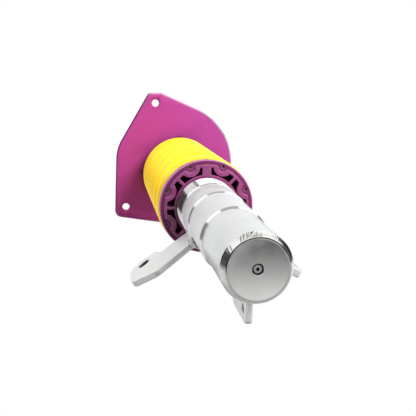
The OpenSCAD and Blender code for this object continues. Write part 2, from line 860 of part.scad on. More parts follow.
// Puts its children in the bolt circle's frame, with +X towards the bolt hole opposite the blunt corner.
module at_bolt_circle() {
  rotate(camber_azimuth) translate([-camber_offset, 0, 0]) rotate(plate_azimuth - camber_azimuth) children();
}

// Tip of a lobe whose sides meet in a round.
module round_tip() {
  translate([plate_pcd / 2 + (lobe_r - tip_r) * sqrt(2), 0]) circle(r = tip_r, $fn = 64);
}

// The two corners of the lobe that is cut short.
module cut_tip() {
  translate([plate_pcd / 2, 0]) rotate(cut_turn) for (s = [-1, 1])
    translate([cut_reach - cut_corner_r, s * (cut_w / 2 - cut_corner_r)]) circle(r = cut_corner_r, $fn = 48);
}

module plate_outline() {
  corner_r = 60;
  nose_start = nose_r * 0.68;
  hull() {
    intersection() {
      circle(r = nose_r);
      translate([nose_start, -nose_r]) square([nose_r, 2 * nose_r]);
    }
    for (a = [-60, 60]) rotate(a) translate([nose_r - shoulder_r - 0.6, 0]) circle(r = shoulder_r, $fn = 180);
    rotate(120) round_tip();
    rotate(-120) cut_tip();
    translate([corner_r - corner_reach, 0]) circle(r = corner_r, $fn = 96);
  }
  hull() {
    round_tip();
    translate([plate_pcd / 2 - lobe_root, 0]) circle(r = lobe_r * 1.375, $fn = 64);
  }
}

// A slot along the camber direction for something round.
module camber_slot(r) {
  end = camber_travel + pass_gap;
  translate([0, 0, plate_z - 1]) {
    for (s = [-1, 1]) translate([s * end, 0, 0]) cylinder(h = plate_t + 2, r = r);
    translate([-end, -r, 0]) cube([2 * end, 2 * r, plate_t + 2]);
  }
}

module top_plate() {
  color("mediumvioletred") difference() {
    translate([0, 0, plate_z]) linear_extrude(plate_t) at_bolt_circle() plate_outline();
    at_bolt_circle() around(3, plate_pcd / 2) translate([0, 0, plate_z - 1])
      cylinder(h = plate_t + 2, d = plate_hole_d);
    rotate(camber_azimuth) camber_slot(boss_r + pass_gap);
    at_clamp_screws() camber_slot(clamp_r + pass_gap);
  }
}

module top_washer() {
  color("silver") ring(ball_top, 3, neck_r + 3, neck_r + fit_gap);
}

module top_nut() {
  color("dimgray") translate([0, 0, washer_top]) difference() {
    hexagon(rod_neck_d * 1.5, nut_top - washer_top);
    translate([0, 0, -1]) cylinder(h = 20, r = neck_r + fit_gap);
  }
}

module rebound_knob() {
  color("red") {
    translate([0, 0, rod_top - knob_shank]) cylinder(h = knob_shank + 1, r = 3);
    translate([0, 0, rod_top + 1]) difference() {
      cylinder(h = knob_top - rod_top - 1, r = 9);
      around(12, 9.6) translate([0, 0, -1]) cylinder(h = 20, r = 1.2, $fn = 24);
    }
  }
}

strut_tube();
stepped_sleeve();
end_cap();
foot_weld();
compression_adjuster();
pressure_tube();
base_valve();
rod_guide();
guide_bush();
rod_seal();
gland_nut();
sway_bar_bracket();
clamp_fin();
hose_bracket();
bracket_welds();
perch_ring();
perch_plate();
perch_screws();
perch_lock_screw();
slip_ring();
main_spring();
upper_seat();
dust_tube();
thrust_washer_lower();
needle_cage();
needle_rollers();
thrust_washer_upper();
bearing_spacer();
piston_rod();
piston();
piston_band();
piston_nut();
rebound_stop();
bump_stop();
bearing_ball();
bearing_liner();
bearing_race();
bearing_housing();
snap_ring();
clamp_screws();
clamp_washers();
top_plate();
top_washer();
top_nut();
rebound_knob();
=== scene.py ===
"""Looks of a clamp-in coilover strut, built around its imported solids.

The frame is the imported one: metres, the strut axis on Z, the origin at the centre of the end cap's rim.
Azimuths run from +X towards +Y. Each section makes one piece, or one group of like pieces.
"""
import math

import bmesh
import bpy
import numpy as np
from mathutils import Matrix, Vector


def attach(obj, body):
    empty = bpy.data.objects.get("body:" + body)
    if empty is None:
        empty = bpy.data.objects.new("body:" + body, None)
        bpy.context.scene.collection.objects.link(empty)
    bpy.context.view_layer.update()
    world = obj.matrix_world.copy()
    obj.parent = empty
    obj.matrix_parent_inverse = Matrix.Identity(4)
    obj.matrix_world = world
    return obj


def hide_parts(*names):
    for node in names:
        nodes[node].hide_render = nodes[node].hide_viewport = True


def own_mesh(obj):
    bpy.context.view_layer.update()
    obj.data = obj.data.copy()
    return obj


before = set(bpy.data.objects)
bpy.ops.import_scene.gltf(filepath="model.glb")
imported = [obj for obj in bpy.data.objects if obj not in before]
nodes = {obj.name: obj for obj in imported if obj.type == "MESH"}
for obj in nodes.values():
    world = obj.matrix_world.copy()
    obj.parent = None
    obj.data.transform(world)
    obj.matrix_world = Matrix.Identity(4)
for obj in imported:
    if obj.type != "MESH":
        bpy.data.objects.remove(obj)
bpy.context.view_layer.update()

MM = 0.001


# --------------------------------------------------------------------------------------------------
# Camera. It looks up the strut from below its foot, a little from the left and from above the axis,
# through a lens of 56 mm over a sensor 36 mm wide.
image_px = 416
focal_px = 650
sensor_mm = 36
view_right = Vector((0.987051, 0.00038, -0.160406))
view_down = Vector((-0.032035, 0.980318, -0.194807))
view_forward = Vector((0.157175, 0.197423, 0.967636))
camera_place = Vector((-0.106968, -0.134846, -0.432865))

camera = bpy.data.objects.new("camera", bpy.data.cameras.new("camera"))
bpy.context.scene.collection.objects.link(camera)
camera.data.sensor_width = sensor_mm
camera.data.lens = focal_px / image_px * sensor_mm
camera.data.clip_start = 0.01
camera.data.clip_end = 50
axes = Matrix((view_right, -view_down, -view_forward)).transposed()
camera.matrix_world = Matrix.Translation(camera_place) @ axes.to_4x4()
bpy.context.scene.camera = camera
bpy.context.scene.view_settings.view_transform = "Standard"


# --------------------------------------------------------------------------------------------------
# Studio. A white room with a few darker gaps between its softboxes, which only mirror-like metal picks
# out, five soft lamps that show in no reflection, and a pale floor just under the strut's foot.
def link(tree, value, socket):
    """Feeds a socket with another node's output, or sets it to a number or colour."""
    if isinstance(value, bpy.types.NodeSocket):
        tree.links.new(value, socket)
    else:
        socket.default_value = value


def calc(tree, operation, *values):
    """A Math node over numbers and outputs; returns its output."""
    node = tree.nodes.new("ShaderNodeMath")
    node.operation = operation
    for value, socket in zip(values, node.inputs):
        link(tree, value, socket)
    return node.outputs[0]


def ramp(tree, value, low, high, start=0.0, end=1.0):
    """Maps value from [low, high] to [start, end] with a smooth step."""
    node = tree.nodes.new("ShaderNodeMapRange")
    node.interpolation_type = "SMOOTHSTEP"
    link(tree, value, node.inputs["Value"])
    for name, number in (("From Min", low), ("From Max", high), ("To Min", start), ("To Max", end)):
        node.inputs[name].default_value = number
    return node.outputs["Result"]


def blend_values(tree, amount, first, second):
    """first where amount is 0, second where it is 1."""
    node = tree.nodes.new("ShaderNodeMix")
    for value, socket in zip((amount, first, second), (node.inputs[0], node.inputs[2], node.inputs[3])):
        link(tree, value, socket)
    return node.outputs[0]


def panel(tree, azimuth, tilt, centre, half, edge, low, high):
    """1 inside a panel of the room: |azimuth - centre| < half and low < tilt < high, with soft borders."""
    tilt_edge = 0.03
    turned = calc(tree, "ADD", azimuth, 540 - centre)
    away = calc(tree, "ABSOLUTE", calc(tree, "SUBTRACT", calc(tree, "MODULO", turned, 360.0), 180.0))
    side = ramp(tree, away, half - edge, half + edge, 1.0, 0.0)
    under = ramp(tree, tilt, high - tilt_edge, high + tilt_edge, 1.0, 0.0)
    over = ramp(tree, tilt, low - tilt_edge, low + tilt_edge, 0.0, 1.0)
    return calc(tree, "MULTIPLY", side, calc(tree, "MULTIPLY", under, over))


room = bpy.data.worlds.new("studio")
bpy.context.scene.world = room
room.use_nodes = True
tree = room.node_tree
tree.nodes.clear()
way = tree.nodes.new("ShaderNodeSeparateXYZ")
tree.links.new(tree.nodes.new("ShaderNodeTexCoord").outputs["Generated"], way.inputs[0])
azimuth = calc(tree, "MULTIPLY", calc(tree, "ARCTAN2", way.outputs["Y"], way.outputs["X"]), 180 / math.pi)
front_level, front_fall, brightest, darkest = 1.03, 1.80, 1.05, 0.08
ground_level, sky_level = 0.80, 1.0
front = calc(tree, "MULTIPLY_ADD", way.outputs["Y"], -front_fall, front_level)
front = calc(tree, "MAXIMUM", calc(tree, "MINIMUM", front, brightest), darkest)
seen = blend_values(tree, ramp(tree, way.outputs["Z"], -0.85, -0.65), front, ground_level)
seen = blend_values(tree, ramp(tree, way.outputs["Z"], 0.35, 0.75), seen, sky_level)
FOOT, RING, CROWN = (-0.80, -0.30), (-0.25, 0.33), (0.38, 0.75)
PANELS = [  # azimuth, half width and edge in degrees, lowest and highest tilt, brightness
    (190, 20, 2, *RING, 0.25),
    (230, 20, 2, *RING, 1.25),
    (270, 20, 2, *RING, 0.50),
    (311, 21, 2, *RING, 1.25),
    (342, 9, 2, *RING, 0.30),
    (95, 35, 8, *RING, 0.30),
    (192, 23, 2, *FOOT, 0.05),
    (231, 15, 2, *FOOT, 0.90),
    (250, 3.5, 1, *FOOT, 0.15),
    (277, 23, 2, *FOOT, 1.50),
    (320, 18, 3, *FOOT, 1.25),
    (193, 17, 2, *CROWN, 0.05),
    (267, 55, 2, *CROWN, 1.30),
    (350, 22, 3, *CROWN, 0.10),
    (90, 48, 5, *CROWN, 0.50),
    (64, 58, 5, 0.88, 0.99, 0.03),
]
for centre, half, edge, low, high, brightness in PANELS:
    mask = panel(tree, azimuth, way.outputs["Z"], centre, half, edge, low, high)
    seen = blend_values(tree, mask, seen, brightness)
rays = tree.nodes.new("ShaderNodeLightPath")
fill_level = 0.12
level = blend_values(tree, rays.outputs["Is Glossy Ray"], fill_level, seen)
level = blend_values(tree, rays.outputs["Is Transmission Ray"], level, 1.0)
level = blend_values(tree, rays.outputs["Is Camera Ray"], level, 1.0)
background = tree.nodes.new("ShaderNodeBackground")
tree.links.new(level, background.inputs["Strength"])
background.inputs["Color"].default_value = (1, 1, 1, 1)
tree.links.new(background.outputs[0], tree.nodes.new("ShaderNodeOutputWorld").inputs["Surface"])


def lamp(name, source, strength, spread):
    """A soft distant lamp that shines from the direction source, spread over an angle in degrees."""
    light = bpy.data.lights.new(name, "SUN")
    light.energy = strength
    light.angle = math.radians(spread)
    obj = bpy.data.objects.new(name, light)
    obj.rotation_euler = Vector(source).to_track_quat("Z", "Y").to_euler()
    obj.visible_glossy = False
    bpy.context.scene.collection.objects.link(obj)


lamp("key_lamp", (0.50, -0.62, -0.60), 3.7, 24)
lamp("right_lamp", (0.88, -0.20, -0.38), 1.5, 20)
lamp("side_lamp", (-0.99, -0.10, 0.02), 1.5, 40)
lamp("top_lamp", (-0.30, -0.40, 0.87), 1.8, 30)
lamp("back_lamp", (-0.25, 0.80, 0.55), 1.0, 30)

floor_reach, floor_level = 12, -0.5 * MM
floor_mesh = bpy.data.meshes.new("floor")
corners = [(x * floor_reach, y * floor_reach) for x, y in ((-1, -1), (1, -1), (1, 1), (-1, 1))]
floor_mesh.from_pydata([(x, y, floor_level) for x, y in corners], [], [(0, 1, 2, 3)])
floor = bpy.data.objects.new("floor", floor_mesh)
bpy.context.scene.collection.objects.link(floor)
paint = bpy.data.materials.new("floor_paint")
paint.use_nodes = True
tree = paint.node_tree
tree.nodes.clear()
pale = tree.nodes.new("ShaderNodeBsdfDiffuse")
pale.inputs["Color"].default_value = (0.93, 0.93, 0.93, 1)
rays = tree.nodes.new("ShaderNodeLightPath")
facing = calc(tree, "SUBTRACT", 1.0, tree.nodes.new("ShaderNodeNewGeometry").outputs["Backfacing"])
shown = calc(tree, "MULTIPLY", rays.outputs["Is Camera Ray"], facing)
mix = tree.nodes.new("ShaderNodeMixShader")
tree.links.new(shown, mix.inputs["Fac"])
tree.links.new(tree.nodes.new("ShaderNodeBsdfTransparent").outputs[0], mix.inputs[1])
tree.links.new(pale.outputs[0], mix.inputs[2])
tree.links.new(mix.outputs[0], tree.nodes.new("ShaderNodeOutputMaterial").inputs["Surface"])
floor_mesh.materials.append(paint)


# --------------------------------------------------------------------------------------------------
# Strut tube and stepped sleeve. The plain spigot is satin plated steel with fine marks round it; the
# sleeve pressed on it has bright turned steps, and a rolled thread of 3 mm pitch from the collar up.
def effect(name, output, **inputs):
    """An empty node group that puts out one number; its inputs are numbers with their first values."""
    group = bpy.data.node_groups.new(name, "ShaderNodeTree")
    for label, value in inputs.items():
        socket = group.interface.new_socket(label, in_out="INPUT", socket_type="NodeSocketFloat")
        socket.default_value = value
    group.interface.new_socket(output, in_out="OUTPUT", socket_type="NodeSocketFloat")
    return group, group.nodes.new("NodeGroupInput"), group.nodes.new("NodeGroupOutput")


def noise(tree, vector, scale, detail, roughness):
    """The value of a Noise texture at vector."""
    node = tree.nodes.new("ShaderNodeTexNoise")
    node.inputs["Detail"].default_value = detail
    node.inputs["Roughness"].default_value = roughness
    tree.links.new(vector, node.inputs["Vector"])
    link(tree, scale, node.inputs["Scale"])
    return node.outputs[0]


def lathe_marks():
    """Fine rings round the strut axis: noise over (radius, height), so it is the same all the way round."""
    group, given, made = effect("lathe_marks", "Height", Density=900.0)
    place = group.nodes.new("ShaderNodeSeparateXYZ")
    group.links.new(group.nodes.new("ShaderNodeTexCoord").outputs["Object"], place.inputs[0])
    square_x, square_y = (calc(group, "POWER", place.outputs[axis], 2.0) for axis in "XY")
    flat = group.nodes.new("ShaderNodeCombineXYZ")
    group.links.new(calc(group, "SQRT", calc(group, "ADD", square_x, square_y)), flat.inputs["X"])
    group.links.new(place.outputs["Z"], flat.inputs["Y"])
    height = noise(group, flat.outputs[0], given.outputs["Density"], 3.0, 0.7)
    group.links.new(height, made.inputs["Height"])
    return group


def cloud():
    """A slow, uneven change over the piece: noise mapped to [Low, High]."""
    group, given, made = effect("cloud", "Value", Scale=30.0, Low=0.0, High=1.0)
    place = group.nodes.new("ShaderNodeTexCoord").outputs["Object"]
    step = ramp(group, noise(group, place, given.outputs["Scale"], 4.0, 0.6), 0.3, 0.7)
    spread = calc(group, "SUBTRACT", given.outputs["High"], given.outputs["Low"])
    group.links.new(calc(group, "MULTIPLY_ADD", step, spread, given.outputs["Low"]), made.inputs["Value"])
    return group


LATHE_MARKS, CLOUD = lathe_marks(), cloud()


def place_effect(tree, group, **values):
    """Puts a node group into a material and sets its inputs by name."""
    node = tree.nodes.new("ShaderNodeGroup")
    node.node_tree = group
    for name, value in values.items():
        link(tree, value, node.inputs[name])
    return node.outputs[0]


def finish(name, color, roughness, metallic, relief, tone=0.12, coat=0.0):
    """A material whose colour and roughness drift with the cloud.

    relief is (texture group, its density, its depth in metres); tone is how much the cloud darkens
    the colour.
    """
    cloud_scale, drift = 30.0, 0.15
    material = bpy.data.materials.new(name)
    material.use_nodes = True
    tree = material.node_tree
    bsdf = tree.nodes["Principled BSDF"]
    bsdf.inputs["Metallic"].default_value = metallic
    bsdf.inputs["Coat Weight"].default_value = coat
    bsdf.inputs["Coat Roughness"].default_value = 0.12
    mix = tree.nodes.new("ShaderNodeMix")
    mix.data_type = "RGBA"
    tree.links.new(place_effect(tree, CLOUD, Scale=cloud_scale), mix.inputs[0])
    mix.inputs[6].default_value = (*[c * (1 - tone) for c in color], 1)
    mix.inputs[7].default_value = (*color, 1)
    tree.links.new(mix.outputs[2], bsdf.inputs["Base Color"])
    low, high = roughness * (1 - drift), roughness * (1 + drift)
    rough = place_effect(tree, CLOUD, Scale=cloud_scale * 3, Low=low, High=high)
    tree.links.new(rough, bsdf.inputs["Roughness"])
    texture, density, depth = relief
    bump = tree.nodes.new("ShaderNodeBump")
    bump.inputs["Distance"].default_value = depth
    tree.links.new(place_effect(tree, texture, Density=density), bump.inputs["Height"])
    tree.links.new(bump.outputs[0], bsdf.inputs["Normal"])
    return material


def wear(obj, material):
    """Gives a piece or a CAD node one material."""
    obj.data.materials.clear()
    obj.data.materials.append(material)
    return obj


def grid_mesh(name, points, along=False, poles=False):
    """A surface from points[i, j]. j runs round and closes; i closes as well when along is true.

    Poles close the first and the last row with a fan about its mean point.
    """
    rows, columns = points.shape[:2]
    index = np.arange(rows * columns).reshape(rows, columns)
    index = np.hstack([index, index[:, :1]])
    if along:
        index = np.vstack([index, index[:1]])
    quads = np.stack([index[:-1, :-1], index[:-1, 1:], index[1:, 1:], index[1:, :-1]], -1).reshape(-1, 4)
    vertices = points.reshape(-1, 3)
    faces = quads.tolist()
    if poles:
        for row, step in ((0, -1), (-1, 1)):
            pairs = np.stack([index[row, :-1], index[row, 1:]], -1)[:, ::step]
            faces += [(len(vertices), int(a), int(b)) for a, b in pairs]
            vertices = np.vstack([vertices, points[row].mean(0)])
    mesh = bpy.data.meshes.new(name)
    mesh.from_pydata(vertices.tolist(), [], faces)
    mesh.validate()
    return mesh


def place_mesh(name, mesh, sharp):
    """Links a new piece with smooth faces and sharp edges above the given angle."""
    mesh.shade_smooth()
    mesh.set_sharp_from_angle(angle=math.radians(sharp))
    obj = bpy.data.objects.new(name, mesh)
    bpy.context.scene.collection.objects.link(obj)
    return obj


def outward(mesh):
    """Turns the faces of a closed mesh so that they point outwards."""
    work = bmesh.new()
    work.from_mesh(mesh)
    bmesh.ops.remove_doubles(work, verts=work.verts, dist=1e-7)
    bmesh.ops.recalc_face_normals(work, faces=work.faces)
    work.to_mesh(mesh)
    work.free()
    return mesh


spigot_steel = finish("spigot_steel", (0.76, 0.78, 0.78), 0.34, 0.55, (LATHE_MARKS, 2500.0, 0.000006), 0.05)
sleeve_steel = finish("sleeve_steel", (0.76, 0.77, 0.78), 0.36, 0.35, (LATHE_MARKS, 1800.0, 0.000008), 0.05)
bright_steel = finish("bright_steel", (0.88, 0.88, 0.86), 0.12, 1.0, (LATHE_MARKS, 1800.0, 0.000003), 0.05)
wear(nodes["strut_tube"], spigot_steel)

spigot_r, band_r, collar_r, thread_r = 27.5 * MM, 29.4 * MM, 30.6 * MM, 31.5 * MM
bore_r = spigot_r + 0.05 * MM
sleeve_foot, band_top, collar_top, sleeve_top = 86 * MM, 152.5 * MM, 197 * MM, 318 * MM
cone_h, foot_cone_w = 2.2 * MM, 1.7 * MM
end_chamfer_h, end_chamfer_w = 0.8 * MM, 1 * MM
thread_pitch, thread_depth, thread_fade = 3 * MM, 1.8 * MM, 1 * MM


def threaded_sleeve():
    """The sleeve's skin. Below the thread, radius over height: steps joined by cones.

    Above, rows climb one pitch a turn. Row i lies at (i / per_turn + azimuth / 2 pi) pitches, and its
    radius is the crest's less the depth of a trapezoid of 60 degree flanks, which fades in and out at
    the ends. Column 0 of row i + per_turn closes the last column of row i.
    """
    columns, crest, flank, root = 144, 0.12, 0.35, 0.18
    angle = np.linspace(0, 2 * math.pi, columns, endpoint=False)
    ring = np.stack([np.cos(angle), np.sin(angle)], -1)
    start, end = collar_top + 0.6 * cone_h, sleeve_top - end_chamfer_h
    phases = np.cumsum([0, crest, flank / 2, flank / 2, root, flank / 2])
    cut = np.interp(phases, np.cumsum([0, crest, flank, root, flank]), [0, 0, 1, 1, 0])
    turns = int((end - start) / thread_pitch) + 2
    row = (np.arange(-1, turns)[:, None] + phases[None, :]).reshape(-1)
    deep = np.tile(cut, turns + 1)
    climb = row[:, None] + angle[None, :] / (2 * math.pi)
    height = np.clip(start + climb * thread_pitch, start, end)
    fade = np.clip((height - start) / thread_fade, 0, 1) * np.clip((end - height) / thread_fade, 0, 1)
    radius = thread_r - thread_depth * deep[:, None] * fade
    thread = np.stack([radius * ring[:, 0], radius * ring[:, 1], height], -1)
    rows, per_turn = len(row), len(phases)
    index = np.arange(rows * columns).reshape(rows, columns)
    closing = np.vstack([index[per_turn:, :1], np.repeat(index[-1:, :1], per_turn, 0)])
    index = np.hstack([index, closing])
    quads = np.stack([index[:-1, :-1], index[:-1, 1:], index[1:, 1:], index[1:, :-1]], -1).reshape(-1, 4)
    mesh = bpy.data.meshes.new("thread")
    mesh.from_pydata(thread.reshape(-1, 3).tolist(), [], quads.tolist())
    steps = [(sleeve_foot, bore_r), (sleeve_foot, band_r - foot_cone_w), (sleeve_foot + cone_h, band_r)]
    steps += [(band_top, band_r), (band_top + 0.7 * cone_h, collar_r), (collar_top, collar_r)]
    steps += [(start, thread_r)]
    top = [(end, thread_r), (sleeve_top, thread_r - end_chamfer_w), (sleeve_top, bore_r)]
    bore = [(sleeve_foot, bore_r), (sleeve_top, bore_r)]
    work = bmesh.new()
    work.from_mesh(mesh)
    for outline in (steps, top, bore):
        level, width = np.array(outline).T[:, :, None, None]
        wall = np.concatenate([width * ring, level + 0 * ring[:, :1]], -1)
        work.from_mesh(grid_mesh("wall", wall))
    work.to_mesh(mesh)
    work.free()
    return outward(mesh)


sleeve = place_mesh("threaded_sleeve", threaded_sleeve(), 25)
sleeve.data.materials.append(sleeve_steel)
sleeve.data.materials.append(bright_steel)
rise = np.array([f.center.z for f in sleeve.data.polygons])
tilt = np.array([abs(f.normal.z) for f in sleeve.data.polygons])
bright = (rise > collar_top) | ((tilt > 0.2) & (tilt < 0.9))
sleeve.data.polygons.foreach_set("material_index", bright.astype(np.int32))
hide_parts("stepped_sleeve")
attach(sleeve, "strut_body")


# --------------------------------------------------------------------------------------------------
# End cap. A plug of bare turned steel, welded into the tube's foot, with a shallow dish in its face and a
# small well in the middle for the adjuster.
def blasted():
    """The fine even texture of a blasted, coated or cast surface: dense noise."""
    group, given, made = effect("blasted", "Height", Density=1500.0)
    place = group.nodes.new("ShaderNodeTexCoord").outputs["Object"]
    group.links.new(noise(group, place, given.outputs["Density"], 2.0, 0.6), made.inputs["Height"])
    return group


BLASTED = blasted()


def turned_mesh(name, outline):
    """A body of revolution: a closed outline of points (radius, height) turned about Z."""
    outline = np.asarray(outline, float)
    angle = np.linspace(0, 2 * math.pi, 192, endpoint=False)
    radius, height = outline[:, :1], outline[:, 1:]
    points = np.stack([radius * np.cos(angle), radius * np.sin(angle), height + 0 * angle], -1)
    return outward(grid_mesh(name, points, along=True))


cap_steel = finish("cap_steel", (0.66, 0.66, 0.65), 0.22, 1.0, (LATHE_MARKS, 1500.0, 0.000012), 0.06)
face_r, dish_r, dish_depth = 23.4 * MM, 22.6 * MM, 2.2 * MM
well_r, well_depth, needle_r = 4.3 * MM, 7 * MM, 2.55 * MM
cap_top, weld_top = 14 * MM, 6 * MM
root_r, face_edge, well_edge = 24.4 * MM, 0.15 * MM, 0.3 * MM
sweep = np.linspace(well_r + well_edge, dish_r, 30)
dish = [(r, dish_depth * (1 - (r / dish_r) ** 2)) for r in sweep]
lip = dish_depth * (1 - (well_r / dish_r) ** 2)
cap_outline = (
    [(needle_r, well_depth), (well_r, well_depth), (well_r, lip + well_edge)]
    + dish
    + [(face_r - face_edge, 0), (face_r, face_edge), (face_r, weld_top)]
    + [(root_r, weld_top), (root_r, cap_top), (needle_r, cap_top)]
)
# Painted shade: the well's wall and floor get a near black colour.
well_painted_shade = finish("well_painted_shade", (0.006, 0.006, 0.006), 0.6, 0.0, (BLASTED, 1500.0, 0.00001))
cap = wear(place_mesh("dished_cap", turned_mesh("dished_cap", cap_outline), 25), cap_steel)
cap.data.materials.append(well_painted_shade)
centres = np.array([f.center for f in cap.data.polygons])
from_axis = np.hypot(centres[:, 0], centres[:, 1])
in_well = (from_axis < well_r + 0.1 * MM) & (centres[:, 2] > lip + 0.4 * MM)
cap.data.polygons.foreach_set("material_index", in_well.astype(np.int32))
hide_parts("end_cap")
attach(cap, "strut_body")


# --------------------------------------------------------------------------------------------------
# Foot weld. The steel bead that joins cap and tube, laid in a groove round the cap. It was ground partly
# smooth, which left its ripples at the top. Painted shade darkens it at two places of azimuth and in its
# groove and valleys.
def foot_weld_mesh():
    """A ring whose skin follows a rounded profile; scallops of the bead press into it along its normal.

    Their phase is azimuth times their number, less slant times the way across the bead, plus a wobble.
    Their depth is a sum of bumps share * exp(-((azimuth - centre) / width)^power). Away from
    upper_centre the groove is filled up to the face. A point attribute darkens the groove and the scallop
    valleys: painted shade.
    """
    scallops, slant, depth, faintest = 68, 9.0, 0.5 * MM, 0.05
    rippled = [(254, 17, 4, 1.0), (217, 6, 2, 0.5), (190, 13, 2, 0.35), (294, 9, 2, 0.3)]
    upper_centre, upper_half, upper_fade = 258, 78, 4
    groove_r, groove_w, groove_rim, face_level = 23.75 * MM, 0.5 * MM, 24.2 * MM, 0.25 * MM
    profile = [(23.42, 1.3), (23.7, 1.0), (24.1, 0.5), (24.6, 0.62)]
    profile = np.array(profile + [(25.3, 1.6), (26.2, 3.2), (27.0, 4.8), (27.5, 6.0)]) * MM
    cut = np.linspace(0, len(profile) - 1, 29)
    base = np.stack([np.interp(cut, np.arange(len(profile)), profile[:, k]) for k in (0, 1)], -1)
    slope = np.gradient(base, axis=0)
    normal = np.stack([slope[:, 1], -slope[:, 0]], -1)
    normal /= np.linalg.norm(normal, axis=1)[:, None]
    angle = np.linspace(0, 2 * math.pi, 1200, endpoint=False)
    across = np.linspace(0, 1, len(base))[:, None]
    degrees = np.degrees(angle)[None, :]
    strong = faintest
    for centre, width, power, share in rippled:
        strong = strong + share * np.exp(-(((degrees - centre) / width) ** power))
    wobble = 2.0 * np.sin(7 * angle + 1.3) + 1.5 * np.sin(17 * angle) + 1.0 * np.sin(31 * angle)
    strong = strong * (0.72 + 0.28 * np.sin(23 * angle + 0.8) * np.sin(9 * angle))
    phase = scallops * angle[None, :] - slant * across + wobble[None, :]
    scallop = 0.5 * np.cos(phase) - 0.5
    mound = np.sin(math.pi * np.clip(1.6 * across - 0.58, 0, 1))
    push = depth * scallop * strong * mound
    radius = np.minimum(base[:, :1] + normal[:, :1] * push, spigot_r)
    upper = 1 / (1 + np.exp((np.abs(degrees - upper_centre) - upper_half) / upper_fade))
    filled = (1 - upper) * np.clip(base[:, 1:] - face_level, 0, None) * (base[:, :1] < groove_rim)
    height = np.maximum(base[:, 1:] + normal[:, 1:] * push - filled, 0.1 * MM)
    back = np.array([(27.5, 6.0), (23.45, 6.0)]) * MM
    radius = np.vstack([radius, np.repeat(back[:, :1], len(angle), 1)])
    height = np.vstack([height, np.repeat(back[:, 1:], len(angle), 1)])
    points = np.stack([radius * np.cos(angle), radius * np.sin(angle), height], -1)
    mesh = grid_mesh("rippled_foot_weld", points, along=True)
    # Painted shade: the groove and the scallop valleys get a darkening attribute.
    groove = np.clip(1.5 - np.abs(base[:, :1] - groove_r) / groove_w, 0, 1) * upper
    valley = np.clip(-scallop, 0, 1) ** 2 * np.clip(strong - 0.15, 0, 1) * np.clip(4 * across - 1.9, 0, 1)
    crease_shade = np.vstack([np.maximum(0.85 * groove, 0.95 * valley), np.zeros((2, len(angle)))])
    mesh.attributes.new("crease_shade", "FLOAT", "POINT").data.foreach_set("value", crease_shade.ravel())
    return outward(mesh)


def darkened(material, amount, share):
    """Multiplies a material's colour by share, a number or a colour, where amount is 1."""
    share = share if isinstance(share, tuple) else (share, share, share)
    tree = material.node_tree
    bsdf = tree.nodes["Principled BSDF"]
    source = bsdf.inputs["Base Color"].links[0].from_socket
    mix = tree.nodes.new("ShaderNodeMix")
    mix.data_type = "RGBA"
    mix.blend_type = "MULTIPLY"
    tree.links.new(amount, mix.inputs[0])
    tree.links.new(source, mix.inputs[6])
    mix.inputs[7].default_value = (*share, 1)
    tree.links.new(mix.outputs[2], bsdf.inputs["Base Color"])


def object_place(tree):
    """X, Y and Z of the piece's own coordinates."""
    place = tree.nodes.new("ShaderNodeSeparateXYZ")
    tree.links.new(tree.nodes.new("ShaderNodeTexCoord").outputs["Object"], place.inputs[0])
    return place.outputs


def painted_shade_sides(material, share, patches):
    """Multiplies a material's colour by share inside patches (centre, half width) of azimuth, in degrees:
    painted shade for the dark surroundings that the metal mirrors there.
    """
    tree = material.node_tree
    place = object_place(tree)
    around = calc(tree, "MULTIPLY", calc(tree, "ARCTAN2", place["Y"], place["X"]), 180 / math.pi)
    shade_patch = 0.0
    for centre, half in patches:
        shade_patch = calc(tree, "ADD", shade_patch, panel(tree, around, 0.0, centre, half, 4, -1, 1))
    darkened(material, shade_patch, share)


foot_weld_steel = finish("foot_weld_steel", (0.80, 0.80, 0.78), 0.14, 1.0, (BLASTED, 2200.0, 0.00001), 0.15)
# Painted shade: the weld is darkened at two patches of azimuth.
painted_shade_sides(foot_weld_steel, 0.25, [(200, 13), (332, 17)])
# Painted shade in the weld's groove and valleys, read from the mesh's attribute.
crease_shade = foot_weld_steel.node_tree.nodes.new("ShaderNodeAttribute")
crease_shade.attribute_name = "crease_shade"
darkened(foot_weld_steel, crease_shade.outputs["Fac"], 0.06)
foot_weld = wear(place_mesh("rippled_foot_weld", foot_weld_mesh(), 75), foot_weld_steel)
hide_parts("foot_weld")
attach(foot_weld, "strut_body")


# --------------------------------------------------------------------------------------------------
# Brackets. Three laser-cut steel plates stand on the tube: the sway bar bracket, the clamp fin that lines
# up with the knuckle's slot, and the hose bracket. Their edges were rounded before plating.
def broken_edges(node, name, width, segments=3, clamp=True, root_r=0.0):
    """A copy of a CAD node with its flat faces joined and its edges rounded by width.

    Edges that lie nearer the strut axis than root_r stay sharp: they are in the weld.
    """
    mesh = nodes[node].data.copy()
    mesh.name = name
    flat, corner, same_place = math.radians(0.6), math.radians(25), 2e-6
    work = bmesh.new()
    work.from_mesh(mesh)
    for face in work.faces:
        face.smooth = True
    bmesh.ops.remove_doubles(work, verts=work.verts, dist=same_place)
    bmesh.ops.dissolve_limit(
        work, angle_limit=flat, verts=work.verts, edges=work.edges, use_dissolve_boundaries=False
    )
    edges = [e for e in work.edges if len(e.link_faces) == 2 and e.calc_face_angle(0) > corner]
    edges = [e for e in edges if max(v.co.xy.length for v in e.verts) > root_r]
    bmesh.ops.bevel(
        work, geom=edges, offset=width, offset_type="OFFSET", segments=segments, profile=0.5,
        affect="EDGES", clamp_overlap=clamp,
    )
    bmesh.ops.triangulate(work, faces=[f for f in work.faces if len(f.verts) > 4])
    work.to_mesh(mesh)
    work.free()
    obj = place_mesh(name, mesh, 40)
    even = obj.modifiers.new("even shading", "WEIGHTED_NORMAL")
    even.keep_sharp = True
    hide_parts(node)
    return obj


